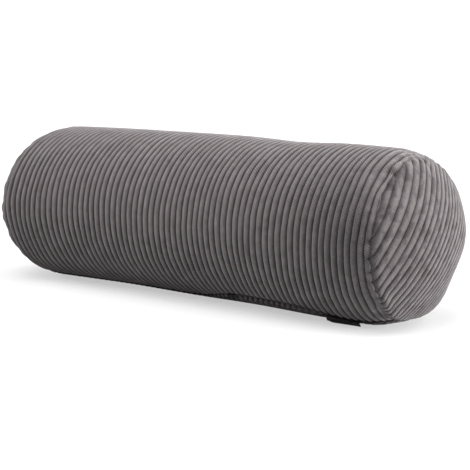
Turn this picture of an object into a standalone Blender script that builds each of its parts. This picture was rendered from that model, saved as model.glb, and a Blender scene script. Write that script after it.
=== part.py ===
"""Neck roll cushion in wide-wale corduroy, 14.5 cm across and 40 cm between its end seams.

The filled body panel, its two domed end discs and the small label in the long seam are four closed solids.
Metres, +Z up. X runs along the roll, and the roll lies on Z = 0 on a small flat spot.
The ribbed sections of a pressed, slightly bent roll are all unlike, so each solid is a loft over arrays of points.
"""
import math

import bpy
import numpy as np

# The roll as a whole
DIAMETER = 0.145
LENGTH = 0.400
RIB_PITCH = 0.00606
RIB_DEPTH = 0.0017

# How the filling and the floor shape the roll
HALF_WIDTH = DIAMETER / 2
HALF_HEIGHT = 0.983 * HALF_WIDTH
FLAT_SHARE = 0.015
WIDTH_FLARE = 0.0018
HEIGHT_TAPER = 0.0018
HEIGHT_FLARE = -0.0012
BOW = -0.0035
BOW_SKEW = 0.0018
LEAN_FRONT = 0.0054
LEAN_TOP = 0.0027
FLOOR_FADE = 0.004

# How the end seams draw the roll in
DRAW_IN = {"right": 0.080, "left": 0.100}
DRAW_REACH = {"right": 0.0227, "left": 0.0150}
WELT_WIDTH = 0.0060
WELT_PROUD = 0.0008

# The domed ends, whose radius is 1 at the seam
DOME_HEIGHT = 0.031
DOME_POWER = 2.5
DISC_THICKNESS = 0.0026
DISC_GAP = 0.0008
DISC_EDGE = 0.974
DISC_EDGE_DIP = 0.0015
DISC_EDGE_REACH = 0.05
REBATE_EDGE = 0.985
DISC_RIB_TILT = math.radians(33)
DISC_RIB_PITCH = 0.0778
DISC_RIB_START = -0.933
DISC_RIB_SWAY = 0.1725
DISC_LAST_LINE = 0.998

# The long seam, low on the front, and the label caught in it
SEAM_ANGLE = math.radians(-67)
SEAM_HALF_ANGLE = math.radians(1.4)
SEAM_PROUD = 0.0015
LABEL_START = 0.1290
LABEL_LENGTH = 0.032
LABEL_DROP_RUN = 0.0055
LABEL_THICKNESS = 0.0010
LABEL_CLEARANCE = 0.0009
LABEL_LIFT = 0.0004

# How finely the solids are made
SIDES = 34
DISC_POINTS = 11
DOME_RINGS = (0.93, 0.80, 0.60, 0.35)
LABEL_STEPS = 6


def clear_scene():
    """Remove whatever the new file holds."""
    for item in list(bpy.data.objects):
        bpy.data.objects.remove(item, do_unlink=True)


def smoothstep(value):
    """0 below 0, 1 above 1, and a smooth climb between."""
    t = np.clip(value, 0.0, 1.0)
    return t * t * (3.0 - 2.0 * t)


def draw_in(x):
    """The share of the roll's radius left at x, less than 1 close to the end seams."""
    share = np.ones_like(x)
    for end, side in (("right", 1.0), ("left", -1.0)):
        from_seam = LENGTH / 2 - side * x
        pull = np.clip(1.0 - from_seam / DRAW_REACH[end], 0.0, 1.0)
        share = share - DRAW_IN[end] * pull ** 2
    return share


def full_height(x):
    """Half the roll's height at x before the end seams draw it in."""
    s = x / (LENGTH / 2)
    return HALF_HEIGHT + HEIGHT_TAPER * s + HEIGHT_FLARE * s ** 2


def axis_height(x):
    """How high the middle of a section lies, a little less than its half height, so that its underside is flat."""
    return full_height(x) * (1.0 - FLAT_SHARE)


def place(x, front, up, proud):
    """Points of the roll: x along it, front and up in the unit circle of its section, raised by proud."""
    s = x / (LENGTH / 2)
    width = (HALF_WIDTH + WIDTH_FLARE * s ** 2) * draw_in(x) + proud
    height = full_height(x) * draw_in(x) + proud
    lean = s * (LEAN_FRONT * front + LEAN_TOP * up)
    y = BOW * s ** 2 + BOW_SKEW * s ** 3 - width * front
    z = axis_height(x) + height * up
    return np.stack([x + lean, y, np.maximum(z, 0.0)], axis=-1)


def pressed(x, up):
    """0 where the floor presses the ribs flat, 1 where they stand free."""
    clear = axis_height(x) + full_height(x) * draw_in(x) * up
    return smoothstep(clear / FLOOR_FADE)


def section_angles():
    """Even steps round the roll, with three more on the long seam. 0 is the front and 90 degrees the top."""
    step = 2 * math.pi / SIDES
    even = [SEAM_ANGLE + step * (i + 0.5) for i in range(SIDES)]
    seam = [SEAM_ANGLE - SEAM_HALF_ANGLE, SEAM_ANGLE, SEAM_ANGLE + SEAM_HALF_ANGLE]
    return np.array(seam + even)


def body_rows():
    """Rows of (x, rise over the skin, section radius) from the left end's middle to the right end's middle."""
    half = LENGTH / 2
    grooves = int((half - WELT_WIDTH) / RIB_PITCH)
    rows = []
    for k in range(-grooves, grooves + 1):
        rows.append((k * RIB_PITCH, -RIB_DEPTH, 1.0))
        if k < grooves:
            rows.append(((k + 0.5) * RIB_PITCH, 0.0, 1.0))
    welt = [(half - WELT_WIDTH / 2, WELT_PROUD, 1.0), (half, 0.0, 1.0), (half - 0.0006, 0.0, REBATE_EDGE)]
    for rho in (REBATE_EDGE,) + DOME_RINGS:
        welt.append((half + dome_rise(rho) - DISC_THICKNESS - DISC_GAP, 0.0, rho))
    left = [(-x, rise, rho) for x, rise, rho in reversed(welt)]
    return np.array(left + rows + welt)


def dome_rise(rho):
    """How far a domed end stands beyond its seam, at a share rho of the seam's radius."""
    return DOME_HEIGHT * (1.0 - rho ** DOME_POWER)


def dome_point(side, front, up, offset):
    """Points of a domed end, side +1 or -1, offset outwards along the roll."""
    rho = np.hypot(front, up)
    seam_x = np.full_like(rho, side * LENGTH / 2)
    points = place(seam_x, front, up, 0.0)
    points[..., 0] += side * (dome_rise(rho) + offset)
    return points


def ring_faces(rows, sides, first=0):
    """Quads between rows of points that close round the roll, wound to face outwards."""
    i, j = np.meshgrid(np.arange(rows - 1), np.arange(sides), indexing="ij")
    k = (j + 1) % sides
    quads = np.stack([i * sides + j, (i + 1) * sides + j, (i + 1) * sides + k, i * sides + k], axis=-1)
    return (quads.reshape(-1, 4) + first).tolist()


def fan_faces(ring, middle, flip):
    """Triangles from a ring of point numbers to one middle point."""
    pairs = list(zip(ring, ring[1:] + ring[:1]))
    if flip:
        return [(b, a, middle) for a, b in pairs]
    return [(a, b, middle) for a, b in pairs]


def make_body():
    """The filled, ribbed roll, with the rebate at each end that the disc lies in."""
    rows = body_rows()
    angles = section_angles()
    x, angle = np.meshgrid(rows[:, 0], angles, indexing="ij")
    rise = np.repeat(rows[:, 1:2], len(angles), axis=1)
    rho = np.repeat(rows[:, 2:3], len(angles), axis=1)
    inside = rho < 1.0
    outer_x = np.where(inside, np.sign(x) * LENGTH / 2, x)
    on_seam = np.abs((angle - SEAM_ANGLE)) < SEAM_HALF_ANGLE / 2
    rise = np.where(on_seam & ~inside, rise / 2 + SEAM_PROUD, rise)
    rise = rise * pressed(outer_x, np.sin(angle))
    points = place(outer_x, rho * np.cos(angle), rho * np.sin(angle), rise)
    points[..., 0] += x - outer_x
    sides = len(angles)
    points = points.reshape(-1, 3)
    middles = [point_at_middle(-1), point_at_middle(1)]
    faces = ring_faces(len(rows), sides)
    first_ring = list(range(sides))
    last_ring = list(range((len(rows) - 1) * sides, len(rows) * sides))
    faces += fan_faces(first_ring, len(points), False)
    faces += fan_faces(last_ring, len(points) + 1, True)
    return np.vstack([points, middles]), faces


def point_at_middle(side):
    """The middle of the filling's domed end, under the disc."""
    nothing = np.zeros(1)
    return dome_point(side, nothing, nothing, -DISC_THICKNESS - DISC_GAP)[0]


def disc_lines():
    """Places across the disc, in units of its radius, of each groove and each rib's top, and their rise."""
    first = DISC_RIB_START - DISC_RIB_PITCH / 2
    steps = np.arange(math.ceil((1.0 - first) / (DISC_RIB_PITCH / 2)))
    across = first + steps * DISC_RIB_PITCH / 2
    rise = np.where(steps % 2 == 1, -RIB_DEPTH, 0.0)
    keep = np.abs(across) < DISC_LAST_LINE
    across = np.concatenate([[-DISC_LAST_LINE], across[keep], [DISC_LAST_LINE]])
    return across, np.concatenate([[0.0], rise[keep], [0.0]])


def disc_grid(across):
    """Front and up of points along each curved rib line, and the ends of each line on the unit circle."""
    curve = DISC_RIB_SWAY
    middle = 1.0 + 2.0 * curve * across
    reach_squared = (np.sqrt(middle ** 2 + 4.0 * curve ** 2 * (1.0 - across ** 2)) - middle) / (2.0 * curve ** 2)
    along = np.sqrt(reach_squared)[:, None] * np.linspace(-1.0, 1.0, DISC_POINTS)[None, :]
    bent = across[:, None] + curve * along ** 2
    back = bent * math.cos(DISC_RIB_TILT) + along * math.sin(DISC_RIB_TILT)
    up = along * math.cos(DISC_RIB_TILT) - bent * math.sin(DISC_RIB_TILT)
    return -back * DISC_EDGE, up * DISC_EDGE


def make_disc(side):
    """A domed round of ribbed cloth: a grid along its ribs, its plain underside and the rim between them."""
    across, rise = disc_lines()
    front, up = disc_grid(across)
    edge = smoothstep((np.hypot(front, up) - DISC_EDGE + DISC_EDGE_REACH) / DISC_EDGE_REACH)
    relief = rise[:, None] * (1.0 - 0.5 * edge) - DISC_EDGE_DIP * edge
    outer = dome_point(side, front, up, relief).reshape(-1, 3)
    inner = dome_point(side, front, up, -DISC_THICKNESS).reshape(-1, 3)
    lines, count = front.shape
    quads = []
    for i in range(lines - 1):
        for j in range(count - 1):
            a = i * count + j
            quads.append((a, a + count, a + count + 1, a + 1))
    total = lines * count
    start_edge = list(range(count))
    end_edge = [(lines - 1) * count + j for j in range(count)]
    low_edge = [i * count for i in range(lines)]
    high_edge = [i * count + count - 1 for i in range(lines)]
    loop = low_edge + end_edge[1:] + high_edge[::-1][1:] + start_edge[::-1][1:-1]
    faces = list(quads)
    faces += [tuple(v + total for v in reversed(face)) for face in quads]
    for a, b in zip(loop, loop[1:] + loop[:1]):
        faces.append((b, a, a + total, b + total))
    if side < 0:
        faces = [tuple(reversed(face)) for face in faces]
    return np.vstack([outer, inner]), faces


def make_label():
    """A folded tape that leaves the long seam and drops to the floor in a slight curve."""
    x = np.linspace(LABEL_START, LABEL_START + LABEL_LENGTH, LABEL_STEPS + 1)
    root_angle = SEAM_ANGLE + 2.2 * SEAM_HALF_ANGLE
    root = place(x, math.cos(root_angle) * np.ones_like(x), math.sin(root_angle) * np.ones_like(x), LABEL_CLEARANCE)
    foot = root + np.array([0.0, -LABEL_DROP_RUN, 0.0])
    foot[:, 2] = LABEL_LIFT
    middle = (root + foot) / 2 + np.array([0.0, -0.0008, 0.0008])
    out = np.array([0.0, -LABEL_THICKNESS * 0.8, LABEL_THICKNESS * 0.6])
    rows = [root, middle, foot, foot + out, middle + out, root + out]
    points = np.stack(rows, axis=1)
    count = len(rows)
    faces = ring_faces(len(x), count)
    faces.append(tuple(range(count)))
    faces.append(tuple(reversed(range((len(x) - 1) * count, len(x) * count))))
    return points.reshape(-1, 3), faces


def material(name, colour, roughness):
    """A plain Principled material with a cloth's sheen."""
    made = bpy.data.materials.new(name)
    made.use_nodes = True
    shader = made.node_tree.nodes["Principled BSDF"]
    shader.inputs["Base Color"].default_value = colour
    shader.inputs["Roughness"].default_value = roughness
    shader.inputs["Metallic"].default_value = 0.0
    shader.inputs["Sheen Weight"].default_value = 0.3
    return made


def add_piece(name, points, faces, shift, finish, collection):
    """One named mesh object with its own material, smooth within each rib."""
    mesh = bpy.data.meshes.new(name)
    mesh.from_pydata((points + shift).tolist(), [], faces)
    mesh.validate()
    mesh.update()
    mesh.materials.append(finish)
    mesh.shade_smooth()
    mesh.set_sharp_from_angle(angle=math.radians(60))
    piece = bpy.data.objects.new(name, mesh)
    collection.objects.link(piece)
    return piece


def main():
    """Build the four solids and stand the origin under the middle of the roll."""
    clear_scene()
    collection = bpy.data.collections.new("neck_roll_cushion")
    bpy.context.scene.collection.children.link(collection)
    corduroy = (0.105, 0.100, 0.102, 1.0)
    tape = (0.012, 0.012, 0.013, 1.0)
    pieces = {
        "body_panel": make_body(),
        "end_disc_right": make_disc(1),
        "end_disc_left": make_disc(-1),
        "label": make_label(),
    }
    corners = np.vstack([points for points, _ in pieces.values()])
    low, high = corners.min(axis=0), corners.max(axis=0)
    shift = np.array([-(low[0] + high[0]) / 2, -(low[1] + high[1]) / 2, 0.0])
    for name, (points, faces) in pieces.items():
        finish = material(name, tape if name == "label" else corduroy, 0.6 if name == "label" else 0.9)
        add_piece(name, points, faces, shift, finish, collection)


main()
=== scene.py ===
# %% [markdown]
# # A corduroy neck roll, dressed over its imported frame
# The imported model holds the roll's solids at their real size. This script makes the cloth that shows: a
# ribbed body panel, two domed ribbed end discs and a woven label. Each piece is worked out with numpy as
# one array of points and takes the place of its own solid.

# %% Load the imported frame
import math

import bpy
import numpy as np
from mathutils import Matrix, Vector


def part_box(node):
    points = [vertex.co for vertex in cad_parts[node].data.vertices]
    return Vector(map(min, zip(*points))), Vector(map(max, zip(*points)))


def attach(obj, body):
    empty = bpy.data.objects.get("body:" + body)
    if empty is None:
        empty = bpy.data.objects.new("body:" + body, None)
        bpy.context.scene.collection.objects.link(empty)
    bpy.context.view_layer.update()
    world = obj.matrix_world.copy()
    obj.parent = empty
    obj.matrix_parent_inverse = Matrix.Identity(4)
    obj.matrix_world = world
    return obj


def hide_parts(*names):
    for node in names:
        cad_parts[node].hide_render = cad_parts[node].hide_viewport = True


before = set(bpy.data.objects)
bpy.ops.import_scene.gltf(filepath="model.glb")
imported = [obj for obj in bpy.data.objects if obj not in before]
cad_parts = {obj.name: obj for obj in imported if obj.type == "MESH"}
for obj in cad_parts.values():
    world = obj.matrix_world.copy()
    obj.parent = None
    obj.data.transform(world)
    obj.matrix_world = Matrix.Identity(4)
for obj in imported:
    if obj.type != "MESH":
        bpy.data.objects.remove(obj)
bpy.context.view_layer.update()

# %% [markdown]
# ## The roll's sizes
# A neck roll is a rectangle of cloth sewn into a tube, with a round of cloth at each end, and it is filled
# until it is tight. These are the sizes of the finished, filled roll in metres. X runs along it, and it
# lies on Z = 0.

# %% Sizes of the filled roll
DIAMETER = 0.145
LENGTH = 0.400
SEAM_X = LENGTH / 2
RIB_PITCH = 0.00606
RIB_DEPTH = 0.0022
HALF_WIDTH = DIAMETER / 2
HALF_HEIGHT = 0.983 * HALF_WIDTH
FLAT_SHARE = 0.015
# How the half width and half height change from the middle to the right end
WIDTH_FLARE = 0.0018
HEIGHT_TAPER = 0.0018
HEIGHT_FLARE = -0.0012
# How far the axis bows towards the front at its ends, and how the end sections lean out
BOW = -0.0035
BOW_SKEW = 0.0018
LEAN_FRONT = 0.0054
LEAN_TOP = 0.0027
# The share by which the end seams draw the roll in, from how far, and the left end's push outwards
DRAW_IN = {"right": 0.080, "left": 0.142}
DRAW_REACH = {"right": 0.0227, "left": 0.0190}
LEFT_PUSH = 0.0017
# The long seam: its direction, and where, how far and how much it strays up the front
SEAM_ANGLE = math.radians(-67)
SEAM_RISE = (0.0825, 0.066, math.radians(14.5))
LAST_GROOVE = 32
print("ribs round the body", 2 * LAST_GROOVE, "and a welt at each end")

# %% [markdown]
# ## The shape under the ribs
# Every point of the roll has a place along it, x, and a direction round it. The direction is given as a
# front and an up value on the unit circle, so that the same function serves the end discs, whose points lie
# inside that circle. The seams at the ends draw the roll in, its own weight presses a small flat where it
# lies, its ends lean out a little at the top, and the filling pushes the left end out a little more than
# the right one.

# %% The roll's plain skin
def smoothstep(value):
    """0 below 0, 1 above 1, and 3t squared minus 2t cubed between."""
    t = np.clip(value, 0.0, 1.0)
    return t * t * (3.0 - 2.0 * t)


def bell(value):
    """1 at 0, and less on both sides: e to the minus square."""
    return np.exp(-value ** 2)


def near_seam(x, end, side):
    """0 at the draw's reach and further in, and 1 at that end's seam."""
    return np.clip(1.0 - (SEAM_X - side * x) / DRAW_REACH[end], 0.0, 1.0)


def draw_in(x):
    """1, less a share that grows with the square of the way from the draw's reach to the seam."""
    right = DRAW_IN["right"] * near_seam(x, "right", 1.0) ** 2
    left = DRAW_IN["left"] * near_seam(x, "left", -1.0) ** 2
    return 1.0 - right - left


def full_height(x):
    """Half the roll's height at x before the end seams draw it in: a parabola along the roll."""
    s = x / SEAM_X
    return HALF_HEIGHT + HEIGHT_TAPER * s + HEIGHT_FLARE * s ** 2


def axis_height(x):
    """The height of a section's middle: a little under its half height, so that its underside is cut flat."""
    return full_height(x) * (1.0 - FLAT_SHARE)


def place(x, front, up, proud):
    """A flattened circle: y is the bow less width times front, z the axis plus height times up.

    proud is how far a point stands off the skin, and a section leans along the roll as it nears an end.
    """
    s = x / SEAM_X
    width = (HALF_WIDTH + WIDTH_FLARE * s ** 2) * draw_in(x) + proud
    height = full_height(x) * draw_in(x) + proud
    lean = s * (LEAN_FRONT * front + LEAN_TOP * up) - LEFT_PUSH * near_seam(x, "left", -1.0)
    y = BOW * s ** 2 + BOW_SKEW * s ** 3 - width * front
    z = axis_height(x) + height * up
    return np.stack([x + lean, y, np.maximum(z, 0.0)], axis=-1)


def end_poles(out):
    """The middle of the left and of the right end, so far out from its seam."""
    poles = place(np.array([-SEAM_X, SEAM_X]), np.zeros(2), np.zeros(2), 0.0)
    poles[:, 0] += np.array([-1.0, 1.0]) * out
    return poles


def seam_line(x):
    """The long seam's direction round the roll: its usual one plus a flat-topped bell where it strays."""
    middle, reach, rise = SEAM_RISE
    return SEAM_ANGLE + rise * np.exp(-((x - middle) / reach) ** 4)


print("section at the middle", round(2 * HALF_WIDTH, 4), "wide and", round(2 * HALF_HEIGHT, 4), "high")
print("the long seam lies between", np.degrees(seam_line(np.array([-0.1, 0.08]))).round(1), "degrees")

# %% [markdown]
# ## Ribs of a wide-wale corduroy
# Corduroy is woven with loops that are cut and brushed up into round ribs, parted by narrow bare grooves.
# The rib's section is therefore full and steep-sided, not a sine wave. Woven cloth is never quite even once
# it is sewn and filled: each rib wanders a fraction of a millimetre, more so near the end seams, its
# grooves are deeper in some places than in others, and the whole cloth sits a few millimetres askew where
# it was pulled round the filling.

# %% Rib section and wander
# Rows of points across one rib, as shares of its pitch, and how full and how round its section is
RIB_STEPS = np.array([0.0, 0.04, 0.11, 0.24, 0.40, 0.60, 0.76, 0.89, 0.96])
RIB_FULLNESS = 2.1
RIB_ROUNDNESS = 0.62
# How far a rib wanders (m), by what share its grooves' depth varies, and the waves' drift and shares
WANDER = 0.00020
GROOVE_UNEVEN = 0.16
WAVE_DRIFT = 1.2
WAVE_SHARES = (0.6, 1.0)


def rib_height(phase):
    """0 in the groove and 1 on top: one minus the distance from the top to the fullness, to the roundness."""
    return (1.0 - np.abs(2.0 * phase - 1.0) ** RIB_FULLNESS) ** RIB_ROUNDNESS


def wander(rib, angle, seed, counts=(1, 2, 3, 5, 8, 13, 21), fade=0.4):
    """A sum of waves round the roll, whose phases drift from rib to rib."""
    random = np.random.default_rng(seed)
    total = np.zeros(np.broadcast(rib, angle).shape)
    for waves in counts:
        start = random.uniform(0, 2 * math.pi)
        drift = random.uniform(-WAVE_DRIFT, WAVE_DRIFT)
        share = random.uniform(*WAVE_SHARES)
        total += share / waves ** fade * np.cos(waves * angle + start + drift * rib)
    return total


def turn_between(angle, centre):
    """The angle from centre, wrapped to half a turn each way."""
    return (angle - centre + math.pi) % (2 * math.pi) - math.pi


def bells(x, angle, table):
    """A sum of bells. Each row: place (mm), direction (degrees), reach (mm), spread (degrees), size (mm)."""
    total = np.zeros(np.broadcast(x, angle).shape)
    for where, direction, reach, spread, size in table:
        along = (x * 1000.0 - where) / reach
        around = turn_between(angle, math.radians(direction)) / math.radians(spread)
        total += size / 1000.0 * np.exp(-along ** 2 - around ** 2)
    return total


# How far the ribs sit askew along the roll, each patch as one bell
ASKEW = (
    (-165, -60, 40, 35, -6.0),
    (-160, 0, 40, 35, -3.0),
    (-150, 60, 45, 40, -2.0),
    (-80, 45, 60, 40, -3.0),
    (-60, -40, 50, 30, -1.5),
    (60, 35, 45, 35, -3.0),
    (80, -30, 40, 30, -1.0),
    (130, -60, 45, 25, -4.0),
    (130, 55, 35, 35, -1.5),
    (185, 75, 22, 28, -4.0),
    (188, -40, 14, 22, 1.5),
)
print("rows of points to each rib", len(RIB_STEPS))

# %% [markdown]
# ## One helper for every mesh
# A ribbed surface has many thousands of faces, so the arrays go into the mesh whole. Each piece keeps a UV
# map in metres along and across its ribs, and two attributes: how high on a rib a point is, with painted
# light and shade in it, and on which side of the rib. The material reads them, so that its pattern and its
# painted light and shade follow the cloth and not the room.

# %% Arrays to mesh
def ring_quads(rows, columns):
    """Corner numbers of the quads between rows that close round the roll, outside up."""
    i, j = np.meshgrid(np.arange(rows - 1), np.arange(columns), indexing="ij")
    k = (j + 1) % columns
    here, next_row = i * columns, (i + 1) * columns
    return np.stack([here + j, next_row + j, next_row + k, here + k], axis=-1).reshape(-1, 4)


def end_fans(rows, columns):
    """Triangles from the first and the last row to two points that follow the grid."""
    ring = np.arange(columns)
    after = (ring + 1) % columns
    last = (rows - 1) * columns
    left = np.stack([ring, after, np.full(columns, rows * columns)], axis=-1)
    right = np.stack([last + after, last + ring, np.full(columns, rows * columns + 1)], axis=-1)
    return np.vstack([left, right])


def new_object(name, data):
    """An object that shows its data in the scene, at the origin."""
    made = bpy.data.objects.new(name, data)
    bpy.context.scene.collection.objects.link(made)
    return made


def cloth_mesh(name, points, quads, quad_uv, triangles, pile, rib_side):
    """A mesh of quads and triangles.

    quad_uv has a pair for each corner of each quad, and pile and rib_side have a value for each point.
    pile is the rib's height with painted light and shade in it.
    """
    mesh = bpy.data.meshes.new(name)
    corners = np.concatenate([quads.ravel(), triangles.ravel()])
    starts = np.concatenate([np.arange(len(quads)) * 4, 4 * len(quads) + np.arange(len(triangles)) * 3])
    mesh.vertices.add(len(points))
    mesh.vertices.foreach_set("co", points.astype(np.float32).ravel())
    mesh.loops.add(len(corners))
    mesh.loops.foreach_set("vertex_index", corners.astype(np.int32))
    mesh.polygons.add(len(starts))
    mesh.polygons.foreach_set("loop_start", starts.astype(np.int32))
    mesh.update(calc_edges=True)
    uv = np.zeros((len(corners), 2), np.float32)
    uv[: 4 * len(quads)] = quad_uv.reshape(-1, 2)
    layer = mesh.uv_layers.new(name="cloth")
    layer.uv.foreach_set("vector", uv.ravel())
    for title, values in (("pile", pile), ("rib_side", rib_side)):
        kept = mesh.attributes.new(title, "FLOAT", "POINT")
        kept.data.foreach_set("value", values.astype(np.float32).ravel())
    mesh.validate()
    mesh.shade_smooth()
    print(name, len(points), "points", 2 * len(quads) + len(triangles), "triangles")
    return new_object(name, mesh)


# %% [markdown]
# ## Where the end disc's ribs meet the seam
# The end disc is cut from the same cloth, with its ribs at a slant. Its ribs bend where the cloth domes, so
# a rib's line is a shallow curve across the disc. Where a groove of the disc runs into the seam, the thread
# pulls the cloth into a small pinch, and the body's last rib shows a dent there. So the disc's lines come
# first.

# %% Lines of ribs on the disc
# The disc is worked out as a unit circle: its ribs' tilt, pitch, first groove and curve, and its last line
DISC_TILT = math.radians(33)
DISC_PITCH = 0.0778
DISC_START = -0.933
DISC_SWAY = 0.1725
DISC_LAST_LINE = 0.998
DISC_ALONG = 90


def disc_reach(across):
    """Half the length of a rib line: where (across + sway times b squared) and b lie on the unit circle."""
    middle = 1.0 + 2.0 * DISC_SWAY * across
    root = np.sqrt(middle ** 2 + 4.0 * DISC_SWAY ** 2 * (1.0 - across ** 2))
    return np.sqrt((root - middle) / (2.0 * DISC_SWAY ** 2))


def disc_place(across, along):
    """Front and up on the unit disc of a point along on the curved line that starts from across."""
    bent = across + DISC_SWAY * along ** 2
    back = bent * math.cos(DISC_TILT) + along * math.sin(DISC_TILT)
    up = along * math.cos(DISC_TILT) - bent * math.sin(DISC_TILT)
    return -back, up


groove_lines = DISC_START + DISC_PITCH * np.arange(int((DISC_LAST_LINE - DISC_START) / DISC_PITCH) + 1)
ends = [disc_place(groove_lines, sign * disc_reach(groove_lines)) for sign in (-1.0, 1.0)]
pinch_angles = np.concatenate([np.arctan2(up, front) for front, up in ends])
print("grooves on a disc", len(groove_lines), "pinches round its seam", len(pinch_angles))

# %% [markdown]
# ## The body panel
# Its points are a grid: rows go along the roll, with more of them by the grooves, and columns go round it,
# closer together by the long seam. The rows at each end follow the rolled welt, turn down into the seam and
# go on under the disc, so that the panel and its filling are one closed form.

# %% Rows along the body
# The last rib, from its groove into the seam: before the seam (mm), above the skin (mm), height of the pile.
# The pile's fall to 0 in the seam darkens it with painted shade
WELT_LINE = np.array([
    (5.9, -1.20, 0.25),
    (5.5, -0.40, 0.60),
    (4.8, 0.15, 0.90),
    (3.8, 0.45, 1.00),
    (2.7, 0.45, 1.00),
    (1.7, 0.15, 0.90),
    (0.9, -0.45, 0.60),
    (0.35, -1.30, 0.30),
    (0.05, -2.30, 0.05),
    (-0.1, -3.30, 0.00),
])
# Rings that go on under the disc, as shares of the seam's radius, and how far under the dome they lie (m)
UNDER_RINGS = np.array([0.955, 0.90, 0.70, 0.40])
UNDER_DISC = 0.0040
DOME_HEIGHT = 0.0320
DOME_POWER = 2.15


def dome_rise(rho):
    """The dome's height over its seam: one minus the radius to a power."""
    return DOME_HEIGHT * (1.0 - rho ** DOME_POWER)


def body_rows():
    """Arrays of x, rise, section radius, pile and side of the rib, for each row from left to right."""
    grooves = np.arange(-LAST_GROOVE, LAST_GROOVE)
    x = ((grooves[:, None] + RIB_STEPS[None, :]) * RIB_PITCH).ravel()
    phase = np.tile(RIB_STEPS, len(grooves))
    x = np.append(x, LAST_GROOVE * RIB_PITCH)
    phase = np.append(phase, 0.0)
    rise = -RIB_DEPTH * (1.0 - rib_height(phase))
    welt_x, welt_rise = SEAM_X - WELT_LINE[:, 0] / 1000.0, WELT_LINE[:, 1] / 1000.0
    under_x = SEAM_X + dome_rise(UNDER_RINGS) - UNDER_DISC
    end_x = np.concatenate([welt_x, under_x])
    end_rise = np.concatenate([welt_rise, np.zeros(len(under_x))])
    end_rho = np.concatenate([np.ones(len(welt_x)), UNDER_RINGS])
    end_pile = np.concatenate([WELT_LINE[:, 2], np.zeros(len(under_x))])
    ends = ((end_x, x), (end_rise, rise), (end_rho, np.ones(len(x))), (end_pile, rib_height(phase)),
            (np.zeros(len(end_x)), np.sin(2 * math.pi * phase)))
    rows = [np.concatenate([end[::-1], inner, end]) for end, inner in ends]
    # The left end is the right one mirrored
    rows[0][: len(end_x)] *= -1.0
    return rows


row_x, row_rise, row_rho, row_pile, row_rib_side = body_rows()
print("rows along the body", len(row_x))

# %% Columns round the body
COLUMNS = 320
TURN_SAMPLES = 4001
# How much closer the columns are at the long seam, and how far round that reaches
SEAM_CROWD = 5.0
SEAM_SPREAD = math.radians(5)


def body_angles():
    """One turn from the long seam, with columns spaced by the inverse of a density that peaks at the seam."""
    turn = np.linspace(0.0, 2 * math.pi, TURN_SAMPLES)
    from_seam = np.minimum(turn, 2 * math.pi - turn)
    density = 1.0 + SEAM_CROWD * bell(from_seam / SEAM_SPREAD)
    passed = np.concatenate([[0.0], np.cumsum((density[1:] + density[:-1]) / 2)])
    return SEAM_ANGLE + np.interp(np.linspace(0.0, passed[-1], COLUMNS + 1)[:-1], passed, turn)


column_angle = body_angles()
print("columns round the body", len(column_angle))

# %% [markdown]
# ## Blow up a coarse cover
# A filled roll looks soft because the filling pushes its cloth out while the seams hold it back. This is
# worked out as cloth: a coarse cover of the whole roll starts a little too small, a pressure inside blows
# it up, and its three seams shrink by an uneven share, as under a tight thread. The even part of the
# swelling is left out, because the skin has its right size already. The rest, the puckers and soft places,
# is read as a field over the roll and added to the ribbed pieces. The ribs are too fine for such a cover,
# and so they stay worked out.

# %% The cover as cloth
COVER_ROWS = 57
COVER_COLUMNS = 96
COVER_RINGS = np.array([0.15, 0.30, 0.45, 0.60, 0.74, 0.86, 0.95])
COVER_SMALLER = 0.0011
COVER_FRAMES = 20
# No point moves further than the cap (m)
COVER_CAP = 0.0012
# How much the seams shrink: the most, the shares round an end seam, and the share along the long one
SEAM_SHRINK = 0.08
END_SEAM_SHARES = (0.35, 1.0)
LONG_SEAM_SHARE = 0.12
# The swelling fades inside this radius of a pole, and within this angle (radians) of the floor
CALM_POLE = 0.35
CALM_FLOOR = 0.45


def cover_grid():
    """Places along the roll and radii of the cover's rows: over the left dome, the body, the right dome."""
    out = SEAM_X + dome_rise(COVER_RINGS)
    x = np.concatenate([-out, np.linspace(-SEAM_X, SEAM_X, COVER_ROWS), out[::-1]])
    rho = np.concatenate([COVER_RINGS, np.ones(COVER_ROWS), COVER_RINGS[::-1]])
    return x, rho


cover_x, cover_rho = cover_grid()
cover_angle = SEAM_ANGLE + 2 * math.pi * np.arange(COVER_COLUMNS) / COVER_COLUMNS


def cover_points(smaller):
    """The roll's plain skin at the cover's rows and columns, with a point at each pole."""
    held_x = np.clip(cover_x, -SEAM_X, SEAM_X)[:, None]
    front, up = cover_rho[:, None] * np.cos(cover_angle), cover_rho[:, None] * np.sin(cover_angle)
    grid = place(np.repeat(held_x, COVER_COLUMNS, axis=1), front, up, -smaller)
    grid[..., 0] += cover_x[:, None] - held_x
    return np.vstack([grid.reshape(-1, 3), end_poles(DOME_HEIGHT - smaller)])


def hold_seams(cover):
    """Weights for the shrinking: uneven round both end seams, even along the long seam."""
    group = cover.vertex_groups.new(name="seams")
    tight = np.random.default_rng(23).uniform(*END_SEAM_SHARES, COVER_COLUMNS)
    first, last = len(COVER_RINGS), len(COVER_RINGS) + COVER_ROWS - 1
    for column, weight in enumerate(tight):
        group.add([first * COVER_COLUMNS + column, last * COVER_COLUMNS + column], float(weight), "REPLACE")
    group.add([row * COVER_COLUMNS for row in range(first + 1, last)], LONG_SEAM_SHARE, "REPLACE")


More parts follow.
